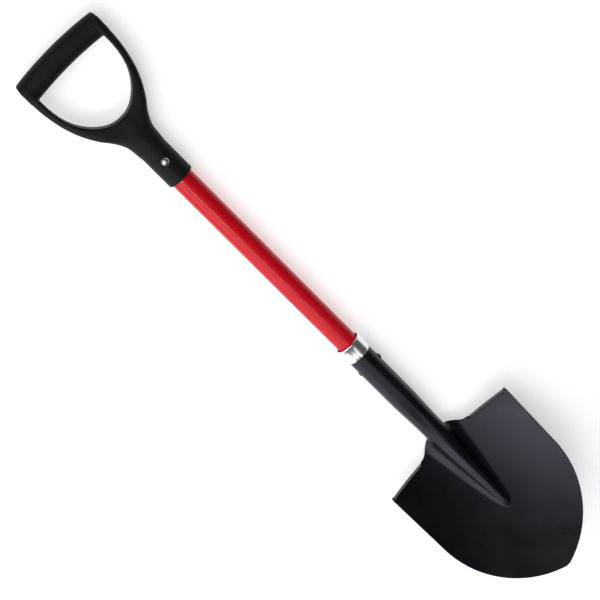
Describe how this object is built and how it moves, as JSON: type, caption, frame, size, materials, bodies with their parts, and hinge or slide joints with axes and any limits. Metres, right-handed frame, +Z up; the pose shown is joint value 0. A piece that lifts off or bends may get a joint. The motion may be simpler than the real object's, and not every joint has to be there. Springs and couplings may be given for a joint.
{
  "type": "round-point garden shovel",
  "caption": "Garden shovel about 1 m long with a moulded D-grip, a red fibreglass shaft, a plated collar and a black pressed-steel round-point blade.",
  "frame": {"origin": "on the ground, under the middle of the shovel's box, with the shovel lying face up", "axes": "+X along the shaft towards the blade's tip, +Z up out of the blade's face, +Y across"},
  "size_m": [1, 0.223, 0.1024],
  "materials": {
    "black_plastic": "fine grained, matt",
    "red_fibreglass": "glossy pultruded resin",
    "core_wood": "turned, bare",
    "plated_steel": "bright zinc",
    "black_painted_steel": "semi-gloss enamel",
    "rivet_aluminium": "plain"
  },
  "bodies": {
    "root": {"d_grip": "black_plastic", "shaft": "red_fibreglass", "grip_core": "core_wood", "socket_core": "core_wood", "socket_collar": "plated_steel", "blade": "black_painted_steel", "grip_rivet": "rivet_aluminium", "grip_rivet_washer": "rivet_aluminium", "socket_rivet": "black_painted_steel", "socket_rivet_washer": "black_painted_steel"}
  },
  "joints": []
}
